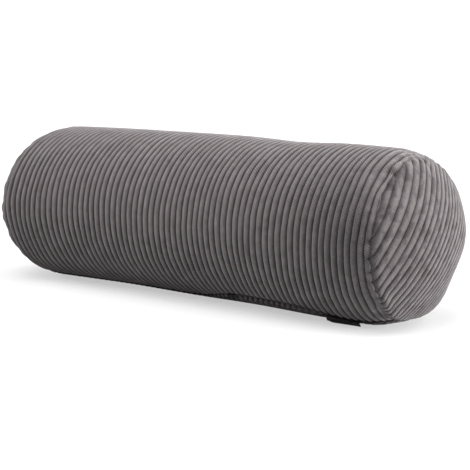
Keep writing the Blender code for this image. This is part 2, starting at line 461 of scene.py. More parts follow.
def blow_up(cover):
    """Runs the cloth with inner pressure and no gravity, and reads its points from the last frame."""
    cloth = cover.modifiers.new("filling", "CLOTH").settings
    cloth.quality = 6
    cloth.mass = 0.01
    cloth.tension_stiffness = 30.0
    cloth.compression_stiffness = 4.0
    cloth.shear_stiffness = 4.0
    cloth.bending_stiffness = 0.1
    cloth.use_pressure = True
    cloth.uniform_pressure_force = 30.0
    cloth.effector_weights.gravity = 0.0
    cloth.vertex_group_shrink = "seams"
    cloth.shrink_min = 0.0
    cloth.shrink_max = SEAM_SHRINK
    scene = bpy.context.scene
    for frame_number in range(1, COVER_FRAMES + 1):
        scene.frame_set(frame_number)
    swollen = cover.evaluated_get(bpy.context.evaluated_depsgraph_get()).data
    ends = np.zeros(len(swollen.vertices) * 3, np.float32)
    swollen.vertices.foreach_get("co", ends)
    scene.frame_set(1)
    return ends.reshape(-1, 3).astype(float)


def filled_field():
    """How far the cloth moves outwards and along, less the mean of each row, no further than the cap."""
    start = cover_points(COVER_SMALLER)
    mesh = bpy.data.meshes.new("cover")
    quads = ring_quads(len(cover_x), COVER_COLUMNS).tolist()
    mesh.from_pydata(start.tolist(), [], quads + end_fans(len(cover_x), COVER_COLUMNS).tolist())
    cover = new_object("cover", mesh)
    hold_seams(cover)
    moved = (blow_up(cover) - start)[:-2].reshape(len(cover_x), COVER_COLUMNS, 3)
    bpy.data.objects.remove(cover)
    bpy.data.meshes.remove(mesh)
    outwards = moved[..., 2] * np.sin(cover_angle) - moved[..., 1] * np.cos(cover_angle)
    field = np.stack([outwards, moved[..., 0]], axis=-1)
    print("the cover swells by", round(float(outwards.mean()) * 1000, 2), "mm")
    field -= field.mean(axis=1, keepdims=True)
    print("beyond that by", (np.abs(field).max(axis=(0, 1)) * 1000).round(2), "mm at most")
    return np.clip(field, -COVER_CAP, COVER_CAP)


field = filled_field()


def cover_row(x, rho):
    """The cover's part row for a place: along the body by x, and on a dome by its radius."""
    ring = np.interp(rho, np.append(COVER_RINGS, 1.0), np.arange(len(COVER_RINGS) + 1.0))
    body_row = len(COVER_RINGS) + (np.clip(x / SEAM_X, -1.0, 1.0) + 1.0) / 2.0 * (COVER_ROWS - 1)
    return np.where(rho < 1.0, np.where(x > 0, len(cover_x) - 1 - ring, ring), body_row)


def filled(x, rho, angle):
    """The field at a place: a mean of the four near values, weighed by nearness.

    It fades towards a pole and towards the floor.
    """
    row = cover_row(x, rho)
    from_floor = turn_between(angle, -math.pi / 2)
    calm = smoothstep(rho / CALM_POLE) * (1.0 - bell(from_floor / CALM_FLOOR))
    column = (angle - SEAM_ANGLE) % (2 * math.pi) / (2 * math.pi) * COVER_COLUMNS
    row, column = np.broadcast_arrays(row, column)
    i = np.clip(np.floor(row).astype(int), 0, len(cover_x) - 2)
    j = np.floor(column).astype(int) % COVER_COLUMNS
    k = (j + 1) % COVER_COLUMNS
    across, around = (row - i)[..., None], (column - np.floor(column))[..., None]
    near = field[i, j] * (1 - around) + field[i, k] * around
    far = field[i + 1, j] * (1 - around) + field[i + 1, k] * around
    moved = calm[..., None] * (near * (1 - across) + far * across)
    return moved[..., 0], moved[..., 1]


print("rows of the cover", len(cover_x))

# %% [markdown]
# ## What the seams and the filling do to the cloth
# The pinches, the fold of the long seam and the unevenness of the filling are small rises and falls that
# are added to the skin. They could be sculpted by hand, but as smooth functions of the place along and
# round the roll each has a number that can be changed. The right end's seam shows best: its line strays to
# and fro, and stands out or sinks in here and there. The pile's colour changes too: painted light lifts the
# grooves on the upper front, and painted shade darkens the long seam's hollows and gap, the pinches, the
# underside by the floor and two patches at the right.

# %% Small forms of the body
PINCH_DEPTH = 0.0022
PINCH_WIDTH = math.radians(1.9)
PINCH_REACH = 0.0042
PINCH_PULL = 0.0011
PULL_REACH = 0.0025
PINCH_SIZES = (0.35, 1.35)
# Across the long seam lie two hollows with a knotted fold between them: direction from its line, width, size
SEAM_HOLLOWS = (
    (math.radians(0.0), math.radians(1.3), 0.0020),
    (math.radians(-6.2), math.radians(1.5), 0.0018),
)
SEAM_FOLD = (math.radians(-3.2), math.radians(1.7), 0.0003)
SEAM_KNOTS = 0.0008
# The columns move round the roll with the seam, and less so away from it (radians)
COLUMN_SHIFT = 0.7
# The share of the pile's colour darkened by painted shade in the long seam's hollows, in its gap and in a
# pinch
SEAM_PAINTED_SHADE = 0.75
GAP_PAINTED_SHADE = 0.9
PINCH_PAINTED_SHADE = 0.6
# How fast the gap's painted shade grows with its depth (share for a metre)
GAP_SHADE_GROWTH = 500.0
# The grooves are deeper at the left end and towards the right one: place along (m), reach (m), share
DEEPER = ((-0.200, 0.035, 0.40), (0.135, 0.045, 0.14))
# The filling's low waves: size, numbers round the roll, and the range of their number of radians to a metre
LUMP = 0.0006
LUMP_WAVES = (2, 3, 4, 5, 7)
LUMP_ALONG = (18, 60)
# Near its middle the long seam opens into a short gap. It is the last of the hollows and bumps of the cloth
SEAM_GAP = (42, -57.0, 5.5, 2.4, -3.6)
HOLLOWS = (
    (78, 97, 40, 28, -2.4),
    (199, 53, 5, 4, -1.8),
    (197, 62.5, 5, 5, 2.2),
    (187, -84, 11, 22, -1.8),
    SEAM_GAP,
)
# Where the right seam strays, all at the seam's own place along the roll: outwards, then along
SEAM_OUT = (
    (200, 76, 9, 13, 2.2),
    (200, 116, 12, 26, -1.4),
    (200, -92, 21, 27, -1.2),
)
SEAM_ALONG = (
    (200, 76, 9, 13, -1.5),
    (200, 40, 7, 14, -2.2),
    (200, 16, 7, 8, -1.0),
    (200, -1, 6, 6, -0.9),
    (200, -36, 7, 9, 3.2),
    (200, -50, 7, 8, 1.0),
)
# By an end seam the ribs' wander stops within the first reach (m), and grows by a share within the second one
WANDER_BY_SEAM = (0.004, 1.6, 0.022)
# How far from its seam each end's ribs take up their whole askew (m)
ASKEW_FROM = {"right": 0.018, "left": 0.024}
# Painted light lifts the grooves by a share round one direction, and painted shade darkens by a share below
# another one
PAINTED_GROOVE_LIGHT = (math.radians(56), math.radians(22), 0.15)
PAINTED_UNDERSIDE_SHADE = (math.radians(-62), math.radians(5), 0.55)
# Two bells of painted shade at the right, whose size is in thousandths of the pile's height
PAINTED_SHADE_PATCHES = ((182, 8, 44, 30, -330), (122, 20, 34, 22, -70))
pinch_size = np.random.default_rng(5).uniform(*PINCH_SIZES, len(pinch_angles))


def pinches(angle):
    """A sum of narrow bells of uneven size, one at each end of each groove of the disc."""
    away = turn_between(angle[..., None], pinch_angles)
    return (pinch_size * bell(away / PINCH_WIDTH)).sum(axis=-1)


def lumps(x, angle):
    """Low waves of the filling: products of a wave along and a wave round the roll."""
    random = np.random.default_rng(7)
    total = np.zeros(np.broadcast(x, angle).shape)
    for waves in LUMP_WAVES:
        along = random.uniform(*LUMP_ALONG)
        start, turn = random.uniform(0, 6.28), random.uniform(0, 6.28)
        total += np.sin(along * x + start) * np.cos(waves * angle + turn) / waves ** 0.7
    return total * LUMP


def by_seam(x, angle, away, width):
    """A bell across the long seam, away from its line by an angle."""
    return bell(turn_between(angle, seam_line(x) + away) / width)


def long_seam(x, angle):
    """A hollow where the ribs end, a fold that is knotted where the seam strays, and a second hollow."""
    fold_at, fold_width, fold = SEAM_FOLD
    gathered = (seam_line(x) - SEAM_ANGLE) / SEAM_RISE[2]
    knots = SEAM_KNOTS * gathered * np.cos(2 * math.pi * x / RIB_PITCH + math.pi)
    dips = sum(depth * by_seam(x, angle, at, width) for at, width, depth in SEAM_HOLLOWS)
    return (fold + knots) * by_seam(x, angle, fold_at, fold_width) - dips


def seam_painted_shade_factor(x, angle):
    """The share of the pile's colour that painted shade leaves: little in the hollows, and between the knots
    of the fold.
    """
    left = 1.0
    for at, width, _ in SEAM_HOLLOWS:
        left = left * (1.0 - SEAM_PAINTED_SHADE * by_seam(x, angle, at, width))
    fold_at, fold_width, _ = SEAM_FOLD
    between_knots = 0.5 + 0.5 * np.cos(2 * math.pi * x / RIB_PITCH)
    return left * (1.0 - SEAM_PAINTED_SHADE * between_knots * by_seam(x, angle, fold_at, fold_width))


def pile_lit_and_shaded(x, angle, pile):
    """The pile's height, with painted light over the upper front's grooves, and painted shade in two patches
    and on the underside.
    """
    # lean is the share of painted light that lifts the grooves
    painted_towards, lit_width, lean = PAINTED_GROOVE_LIGHT
    below, underside_width, underside_shade = PAINTED_UNDERSIDE_SHADE
    shown = pile + lean * (1.0 - pile) * bell(turn_between(angle, painted_towards) / lit_width)
    shown = shown * (1.0 + bells(x, angle, PAINTED_SHADE_PATCHES))
    from_floor = np.abs(turn_between(angle, -math.pi / 2))
    beyond = from_floor - (below + math.pi / 2 - underside_width)
    return shown * (1.0 - underside_shade * smoothstep(1.0 - beyond / underside_width))


# %% Build the body panel
def ring_uv(across, along):
    """Corner pairs of the same quads. along has one value more than there are columns, to close the turn."""
    i, j = np.meshgrid(np.arange(len(across) - 1), np.arange(len(along) - 1), indexing="ij")
    u = np.stack([along[j], along[j], along[j + 1], along[j + 1]], axis=-1)
    v = np.stack([across[i], across[i + 1], across[i + 1], across[i]], axis=-1)
    return np.stack([u, v], axis=-1).reshape(-1, 4, 2)


def body_rise(x, angle, pinch, to_seam):
    """How far the cloth stands off the plain skin: the ribs plus each of the small forms."""
    rise = row_rise[:, None]
    for deeper_at, deeper_reach, deeper in DEEPER:
        rise = rise * (1.0 + deeper * bell((x - deeper_at) / deeper_reach))
    uneven = wander(x / RIB_PITCH, angle, seed=11, counts=(3, 7, 12, 19, 31), fade=0.2)
    rise = rise * (1.0 + GROOVE_UNEVEN * uneven)
    rise = rise + lumps(x, angle) + bells(x, angle, HOLLOWS) + bells(x, angle, SEAM_OUT)
    rise = rise - PINCH_DEPTH * pinch * bell(to_seam / PINCH_REACH)
    return rise + long_seam(x, angle)


def body_astray(x, angle, pinch, to_seam):
    """How far the cloth sits out of place along the roll: wander, askew and seam's stray, less the pull."""
    stop, growth, growth_reach = WANDER_BY_SEAM
    loose = smoothstep(to_seam / stop) * (1.0 + growth * bell(to_seam / growth_reach))
    settled = smoothstep(to_seam / np.where(x > 0, ASKEW_FROM["right"], ASKEW_FROM["left"]))
    astray = WANDER * loose * wander(x / RIB_PITCH, angle, seed=3) + settled * bells(x, angle, ASKEW)
    astray = astray + bells(x, angle, SEAM_ALONG)
    return astray - np.sign(x) * PINCH_PULL * pinch * bell(to_seam / PULL_REACH)


def body_pile_and_shade(x, angle, pinch, to_seam):
    """The pile's height times what the painted shade of the long seam, its gap and the pinches leaves of it.
    """
    shown = pile_lit_and_shaded(x, angle, row_pile[:, None])
    kept = seam_painted_shade_factor(x, angle)
    kept = kept * (1.0 - GAP_PAINTED_SHADE * np.clip(-GAP_SHADE_GROWTH * bells(x, angle, (SEAM_GAP,)), 0.0, 1.0))
    kept = kept * (1.0 - PINCH_PAINTED_SHADE * np.clip(pinch, 0.0, 1.0) * bell(to_seam / PINCH_REACH))
    return shown * kept


def build_body():
    """The grid of rows and columns, moved by the small forms, and a point at the middle of each end."""
    x, angle = np.meshgrid(row_x, column_angle, indexing="ij")
    angle = angle + (seam_line(x) - SEAM_ANGLE) * bell(turn_between(angle, SEAM_ANGLE) / COLUMN_SHIFT)
    rho = row_rho[:, None]
    skin_x = np.where(rho < 1.0, np.sign(x) * SEAM_X, np.clip(x, -SEAM_X, SEAM_X))
    to_seam = SEAM_X - np.abs(x)
    pinch = pinches(column_angle)[None, :]
    outwards, lengthwise = filled(x, rho, angle)
    rise = np.where(rho < 1.0, 0.0, body_rise(x, angle, pinch, to_seam)) + outwards
    points = place(skin_x, rho * np.cos(angle), rho * np.sin(angle), rise)
    points[..., 0] += x - skin_x
    points[..., 0] += np.where(rho < 1.0, 0.0, body_astray(x, angle, pinch, to_seam)) + lengthwise
    points = np.vstack([points.reshape(-1, 3), end_poles(DOME_HEIGHT - UNDER_DISC)])
    quads, fans = ring_quads(len(row_x), COLUMNS), end_fans(len(row_x), COLUMNS)
    around = HALF_WIDTH * (np.append(column_angle, column_angle[0] + 2 * math.pi) - SEAM_ANGLE)
    pile = np.append(body_pile_and_shade(x, angle, pinch, to_seam), [0.0, 0.0])
    rib_side = np.append(np.repeat(row_rib_side, COLUMNS), [0.0, 0.0])
    return cloth_mesh("body_cloth", points, quads, ring_uv(row_x, around), fans, pile, rib_side)


body = build_body()

# %% [markdown]
# ## The end discs
# The disc's points are rows along its ribs and columns along each rib. A plain domed grid could get its
# ribs by displacement, but rows of points along the grooves keep each groove sharp with few faces. The edge
# rolls down into the seam, and the underside is a fan of rings from the same edge, so the disc is a closed
# form like the body.

# %% Build an end disc
DISC_EDGE = 0.972
DISC_RIB_DEPTH = 0.0013
# The rows end so far short of the last line, and a rib's points are partly crowded to its ends
LINE_CLEAR = 0.002
CROWDING = (0.55, 0.45)
# The edge's roll down, its reach from the seam, how much deeper its grooves are, and how far in it strays
EDGE_ROLL = 0.0042
EDGE_REACH = 0.032
EDGE_HOLE = 0.0018
EDGE_FADE = 0.16
# How far each side's disc is puffed out, how far in from the seam most, and how fast it starts at the pole
DISC_PUFF = {1.0: 0.0048, -1.0: 0.0010}
PUFF_AT = 0.10
PUFF_START = 6.0
# Where they are less puffed: direction, spread (degrees), share
PUFF_LESS = ((-80, 22, 0.80), (122, 45, 0.60))
# Where the domes are fuller or flatter: front and up on the unit circle, reach there, size (mm)
DOME_FORMS = ((-0.55, 0.10, 0.32, 2.0), (-0.62, -0.48, 0.24, -1.7))
FORM_FADE = 0.15
# A place on a dome is read from the cover a little inside the seam's own ring
JUST_INSIDE = 0.9999
# Painted shade darkens the discs towards their upper front: direction, share, start and slope
DISC_PAINTED_SHADE = (math.radians(52), 0.25, 0.5, 0.6)
# Painted shade in the disc's edge by the seam: the share of the colour left there, and what comes back inside
# it
EDGE_PAINTED_SHADE = (0.30, 0.70)
DISC_THICKNESS = 0.0026
UNDERSIDE_RINGS = np.array([0.97, 0.85, 0.6, 0.3])


def disc_rows():
    """Places across the disc of each row, and the rib phase there."""
    whole = np.arange(-1, len(groove_lines) + 1)
    across = (DISC_START + DISC_PITCH * (whole[:, None] + RIB_STEPS[None, :])).ravel()
    phase = np.tile(RIB_STEPS, len(whole))
    keep = np.abs(across) < DISC_LAST_LINE - LINE_CLEAR
    across = np.concatenate([[-DISC_LAST_LINE], across[keep], [DISC_LAST_LINE]])
    return across, np.concatenate([[0.5], phase[keep], [0.5]])


def on_dome(side, front, up, offset):
    """The seam's ring filled in, moved out by the dome's rise and the offset, and puffed near its edge."""
    rho = np.hypot(front, up)
    angle = np.arctan2(up, front)
    near_edge = smoothstep(1.0 - (1.0 - rho) / EDGE_FADE)
    seam = np.full_like(rho, side * SEAM_X)
    inside = (1.0 - rho) / PUFF_AT
    puff = DISC_PUFF[side] * inside * np.exp(1.0 - inside) * smoothstep(PUFF_START * rho)
    for direction, spread, less in PUFF_LESS:
        away = turn_between(angle, math.radians(direction)) / math.radians(spread)
        puff = puff * (1.0 - less * bell(away))
    for form_front, form_up, reach, size in DOME_FORMS:
        away = np.hypot(front - form_front, up - form_up)
        offset = offset + size / 1000.0 * bell(away / reach) * smoothstep((1.0 - rho) / FORM_FADE)
    outwards, lengthwise = filled(seam, np.minimum(rho, JUST_INSIDE), angle)
    points = place(seam, front, up, near_edge * bells(seam, angle, SEAM_OUT) + puff + outwards)
    strayed = near_edge * bells(seam, angle, SEAM_ALONG)
    points[..., 0] += side * (dome_rise(rho) + offset) + strayed + lengthwise
    return points


def disc_relief(across, along, rho, height):
    """How far the cloth stands off the dome: less the grooves, deeper at the edge, less the edge's roll."""
    to_edge = np.clip((1.0 - rho) / EDGE_REACH, 0.0, 1.0)
    roll = EDGE_ROLL * (1.0 - np.sqrt(1.0 - (1.0 - to_edge) ** 2))
    at_edge = bell((1.0 - rho) / EDGE_REACH)
    uneven = wander(across / DISC_PITCH, along * 2.0, seed=17, counts=(2, 5, 9, 14), fade=0.2)
    return -(DISC_RIB_DEPTH * (1.0 + GROOVE_UNEVEN * uneven) + EDGE_HOLE * at_edge) * (1.0 - height) - roll


def disc_pile_and_shade(front, up, rho, height):
    """The rib's height times what the painted shade at the edge and towards the upper front leaves of it."""
    to_edge = np.clip((1.0 - rho) / EDGE_REACH, 0.0, 1.0)
    # lean is the share of painted shade towards the upper front
    painted_towards, lean, shade_start, shade_slope = DISC_PAINTED_SHADE
    towards = front * math.cos(painted_towards) + up * math.sin(painted_towards)
    side_shade = lean * smoothstep(shade_start + shade_slope * towards)
    return height * (EDGE_PAINTED_SHADE[0] + EDGE_PAINTED_SHADE[1] * smoothstep(2.0 * to_edge)) * (1.0 - side_shade)


def close_below(loop, total):
    """Quads between the underside's rings, from the edge's loop inwards, and a fan to the last point."""
    size = len(loop)
    ring = np.vstack([loop] + [total + i * size + np.arange(size) for i in range(len(UNDERSIDE_RINGS))])
    after = np.roll(ring, -1, axis=1)
    quads = np.stack([after[:-1], ring[:-1], ring[1:], after[1:]], axis=-1).reshape(-1, 4)
    pole = np.full(size, total + size * len(UNDERSIDE_RINGS))
    return quads, np.stack([after[-1], ring[-1], pole], axis=-1)


def build_disc(name, side):
    """The ribbed dome, its rolled edge and its plain underside."""
    across, phase = disc_rows()
    even = np.linspace(-1.0, 1.0, DISC_ALONG)
    crowded = CROWDING[0] * even + CROWDING[1] * np.sin(even * math.pi / 2)
    along = disc_reach(across)[:, None] * crowded[None, :]
    front, up = disc_place(across[:, None], along)
    rho = np.hypot(front, up)
    height = rib_height(phase)[:, None]
    outer = on_dome(side, front * DISC_EDGE, up * DISC_EDGE, disc_relief(across[:, None], along, rho, height))
    lines, count = front.shape
    total = lines * count
    grid = np.arange(total).reshape(lines, count)
    quads = np.stack([grid[:-1, :-1], grid[1:, :-1], grid[1:, 1:], grid[:-1, 1:]], axis=-1).reshape(-1, 4)
    u, v = along * HALF_WIDTH, np.repeat(across[:, None] * HALF_WIDTH, count, axis=1)
    quad_uv = np.stack([u, v], axis=-1).reshape(-1, 2)[quads]
    loop = np.concatenate([grid[:, 0], grid[-1, 1:], grid[::-1, -1][1:], grid[0, ::-1][1:-1]])
    rings = DISC_EDGE * UNDERSIDE_RINGS[:, None]
    under = on_dome(side, rings * front.ravel()[loop], rings * up.ravel()[loop], -DISC_THICKNESS)
    pole = on_dome(side, np.zeros(1), np.zeros(1), -DISC_THICKNESS)
    points = np.vstack([outer.reshape(-1, 3), under.reshape(-1, 3), pole])
    under_quads, fan = close_below(loop, total)
    quads = np.vstack([quads, under_quads])
    quad_uv = np.concatenate([quad_uv, np.zeros((len(under_quads), 4, 2))])
    if side < 0:
        quads, quad_uv, fan = quads[:, ::-1], quad_uv[:, ::-1], fan[:, ::-1]
    hidden = np.zeros(len(points) - total)
    pile = np.append(disc_pile_and_shade(front, up, rho, height), hidden)
    rib_side = np.append(np.repeat(np.sin(2 * math.pi * phase), count), hidden)
    return cloth_mesh(name, points, quads, quad_uv, fan, pile, rib_side)


disc_right = build_disc("end_disc_cloth_right", 1.0)
disc_left = build_disc("end_disc_cloth_left", -1.0)

# %% [markdown]
# ## The label
# A short folded tape is caught in the long seam, hangs in front of the roll and ends just over the floor
# with its fold. Its left end curls up a little. A bent strip with a Solidify modifier would do too. Here
# the folded section is worked out whole and carried along the seam, so its thickness is even round the fold
# and its ends are closed.

# %% Build the label
# The line that holds it in the seam: its start, its length, how far below the seam and proud of the skin
LABEL_START = 0.1395
LABEL_ROOT = 0.0275
LABEL_BELOW = math.radians(0.6)
ROOT_PROUD = 0.0002
# The line of its fold: its length, its height over the floor and how much lower the right end is
LABEL_FOOT = 0.0026
LABEL_FALL = 0.0008
# How far the left and the right end of the fold lie behind the seam, and how far they are spread
LABEL_TUCK = (0.0040, -0.0005)
LABEL_SPREAD = (-0.0022, 0.0012)
# How far the left end curls up, and over what share of the length
LABEL_CURL = 0.0012
CURL_REACH = 0.10
# How far the tape between them stands out, bellies, and turns out at both ends. Its wave: size, number, start
TAPE_PROUD = 0.0004
TAPE_BELLY = 0.0006
TAPE_TURNED = 0.0004
TAPE_WAVE = (0.0003, 1.2, 0.6)
TAPE_THICKNESS = 0.00045
TAPE_GAP = 0.00030
FLOOR_CLEAR = 0.0002
LABEL_COLUMNS = 64
FOLD_STEPS = 9


def fold_path():
    """The folded tape's middle line: down the front, round a half circle at the fold and up behind."""
    down = np.linspace(0.0, 1.0, FOLD_STEPS)
    turn = np.linspace(0.0, math.pi, FOLD_STEPS)[1:-1]
    half = (TAPE_GAP + TAPE_THICKNESS) / 2
    drop = np.concatenate([down, np.ones(len(turn)), down[::-1]])
    flat = np.ones(FOLD_STEPS)
    beyond = np.concatenate([0.0 * flat, half * np.sin(turn), 0.0 * flat])
    depth = np.concatenate([half * flat, half * np.cos(turn), -half * flat])
    return drop, beyond, depth


def unit(vectors):
    """Each vector over its own length."""
    return vectors / np.linalg.norm(vectors, axis=-1, keepdims=True)


def label_edges(share):
    """Places along the roll, the line in the seam that holds the tape, and the line of its fold."""
    x = LABEL_START + LABEL_ROOT * share
    angle = seam_line(x) - LABEL_BELOW
    root = place(x, np.cos(angle), np.sin(angle), ROOT_PROUD)
    spread = np.interp(share, (0.0, 1.0), LABEL_SPREAD)
    tuck = LABEL_TUCK[0] * (1.0 - share) + LABEL_TUCK[1] * share
    foot = root + np.stack([spread, tuck, 0.0 * share], axis=-1)
    foot[:, 2] = LABEL_FOOT + LABEL_CURL * bell(share / CURL_REACH) - LABEL_FALL * share
    return x, root, foot


def label_section(root, foot, share):
    """The folded line from root to foot, bellied and waved, then thickened both ways to a closed section."""
    drop, beyond, depth = fold_path()
    size, waves, start = TAPE_WAVE
    wave = size * np.sin(2 * math.pi * waves * share + start) + TAPE_TURNED * (2.0 * share - 1.0) ** 2
    across, lengthwise = unit(foot - root), unit(np.gradient(root, axis=0))
    outward = np.cross(across, lengthwise)
    outward = outward * np.sign(-outward[:, 1:2])
    line = root[:, None] + (foot - root)[:, None] * drop[None, :, None]
    line = line + across[:, None] * beyond[None, :, None]
    bulge = (TAPE_BELLY + wave[:, None]) * np.sin(math.pi * np.clip(drop, 0.0, 1.0))[None, :]
    line = line + outward[:, None] * (depth[None, :] + bulge + TAPE_PROUD)[..., None]
    half = unit(np.cross(lengthwise[:, None, :], np.gradient(line, axis=1))) * TAPE_THICKNESS / 2
    section = np.concatenate([line + half, (line - half)[:, ::-1]], axis=1)
    section[..., 2] = np.maximum(section[..., 2], FLOOR_CLEAR)
    return line, section


def build_label():
    """Sections carried along the seam, with a flat cap at each end."""
    share = np.linspace(0.0, 1.0, LABEL_COLUMNS)
    x, root, foot = label_edges(share)
    line, section = label_section(root, foot, share)
    rows, count = section.shape[:2]
    length_round = np.concatenate([[0.0], np.cumsum(np.linalg.norm(np.diff(line[0], axis=0), axis=1))])
    around = np.concatenate([length_round, length_round[::-1], [0.0]])
    quads, uv = ring_quads(rows, count), ring_uv(x, around)
    ring = np.arange(count // 2)
    cap = np.stack([ring[:-1], ring[1:], count - 2 - ring[:-1], count - 1 - ring[:-1]], axis=-1)
    far = cap[:, ::-1] + (rows - 1) * count
    quads = np.vstack([quads, cap, far])
    uv = np.concatenate([uv, np.zeros((2 * len(cap), 4, 2))])
    print("label tape is", round(length_round[-1] * 1000, 1), "mm round its fold")
    even = np.ones(rows * count)
    triangles = np.zeros((0, 3), int)
    tape = cloth_mesh("label_tape", section.reshape(-1, 3), quads, uv, triangles, even, 0.0 * even)
    return tape, length_round[-1]


label, tape_length = build_label()

# %% [markdown]
# ## Move the pieces onto the frame
# The pieces were worked out about the roll's own axis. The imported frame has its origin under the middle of
# the roll's box, so every mesh moves by the same small step.

# %% Settle on the frame
low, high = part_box("body_panel")
own = np.zeros((len(body.data.vertices), 3), np.float32)
body.data.vertices.foreach_get("co", own.ravel())
own_low, own_high = own.min(axis=0), own.max(axis=0)
middle = Vector(((low[0] + high[0]) / 2, (low[1] + high[1]) / 2, 0.0))
SHIFT = Vector((middle.x - (own_low[0] + own_high[0]) / 2, middle.y - (own_low[1] + own_high[1]) / 2, 0.0))
for piece in (body, disc_right, disc_left, label):
    piece.data.transform(Matrix.Translation(SHIFT))
print("moved by", tuple(round(v, 5) for v in SHIFT))

# %% [markdown]
# ## Corduroy
# The pile of the ribs is brushed cotton: matt, with a soft sheen where it is seen edge on, and much darker
# in the grooves, where the ground weave shows and little light gets in; part of that darkness is painted
# shade in the colour, and one side of each rib is painted lighter than the other. The nap lies in short
# slanting marks, and is brushed into smooth and rough strokes, which show most on the end discs. A picture
# of cloth could be laid on the ribs, but noises in nodes have no edge and no repeat, and keep their size on
# every piece.

# %% Corduroy material
def fill_in(tree, made, values):
    """Sets a node's inputs by name or number: another node's output is linked, a plain value is entered."""
    for key, value in values.items():
        if isinstance(value, bpy.types.NodeSocket):
            tree.links.new(value, made.inputs[key])
        else:
            made.inputs[key].default_value = value


def node(tree, kind, values=None, **settings):
    """A new shader node of a kind, with its settings and inputs."""
    made = tree.nodes.new("ShaderNode" + kind)
    for key, value in settings.items():
        setattr(made, key, value)
    fill_in(tree, made, values or {})
    return made


def painted(name, surface):
    """A new material, its tree and its one shader, which has the surface's values."""
    made = bpy.data.materials.new(name)
    made.use_nodes = True
    shader = made.node_tree.nodes["Principled BSDF"]
    fill_in(made.node_tree, shader, surface)
    return made, made.node_tree, shader


def noise(tree, vector, scale, detail=2.0):
    """A noise texture's value, about 0.5 in the middle."""
    values = {"Vector": vector, "Scale": scale, "Detail": detail}
    return node(tree, "TexNoise", values).outputs["Fac"]


def stretched(tree, vector, turn, along, across):
    """A vector turned by an angle in degrees and scaled."""
    placing = {"Vector": vector, "Rotation": (0.0, 0.0, math.radians(turn)), "Scale": (along, across, 1.0)}
    return node(tree, "Mapping", placing).outputs["Vector"]


def worked_out(tree, operation, *values):
    """The result of an operation on values, each a number or another node's value."""
    return node(tree, "Math", dict(enumerate(values)), operation=operation).outputs[0]


def blend_in(tree, value, size, base):
    """base plus size times (value less a half). base is a number or another node's value."""
    if isinstance(base, float):
        return worked_out(tree, "MULTIPLY_ADD", value, size, base - 0.5 * size)
    return worked_out(tree, "ADD", worked_out(tree, "MULTIPLY_ADD", value, size, base), -0.5 * size)


def between(tree, value, low, high, first, last):
    """value's range from low to high, eased to first and last."""
    ranges = {"Value": value, "From Min": low, "From Max": high, "To Min": first, "To Max": last}
    return node(tree, "MapRange", ranges, interpolation_type="SMOOTHSTEP").outputs["Result"]


def bumped(tree, height, strength, distance):
    """The surface's normal, turned by a height whose range from 0 to 1 is a distance in metres."""
    values = {"Height": height, "Strength": strength, "Distance": distance}
    return node(tree, "Bump", values).outputs["Normal"]


PILE_SURFACE = {
    "Roughness": 0.92,
    "Specular IOR Level": 0.18,
    "Sheen Weight": 0.46,
    "Sheen Roughness": 0.40,
    "Sheen Tint": (0.92, 0.89, 0.90, 1.0),
}
# The pile's height and its colour in the groove, on the rib's flank and on its top. The groove's colour is
# partly the ground weave's own and partly painted shade
GROOVE_STOP = (0.05, (0.0240, 0.0212, 0.0220, 1.0))
FLANK_STOP = (0.55, (0.095, 0.0848, 0.0870, 1.0))
TOP_STOP = (1.0, (0.195, 0.176, 0.180, 1.0))
# Noises that shade the pile, from fine to coarse: how many to a metre, detail, size of the change
TONES = ((900.0, 2.0, 0.62), (260.0, 2.0, 0.50), (60.0, 3.0, 0.40))
# The slanting marks: turn (degrees) and number to a metre, and the wave texture's own values
MARKS = (-36.0, 185.0)
MARKS_WAVE = {"Scale": 1.0, "Distortion": 1.2, "Detail": 1.0}
# The noise that lets them show: number to a metre, range, and the shares that show at its two ends
MARKS_SHOW = (45.0, 0.40, 0.62, 0.30, 1.0)
# The brushed strokes: number to a metre along and across the ribs, and the range of their noise
STROKES = (80.0, 170.0)
STROKE_RANGE = (0.49, 0.60)


def pile_colour(tree):
    """A colour from the pile's height, with its painted light and shade, over three stops."""
    pile = node(tree, "Attribute", attribute_name="pile").outputs["Fac"]
    ramp = node(tree, "ValToRGB", {"Fac": pile})
    stops = ramp.color_ramp.elements
    stops[0].position, stops[0].color = GROOVE_STOP
    stops[1].position, stops[1].color = TOP_STOP
    stops.new(FLANK_STOP[0]).color = FLANK_STOP[1]
    return ramp.outputs["Color"]


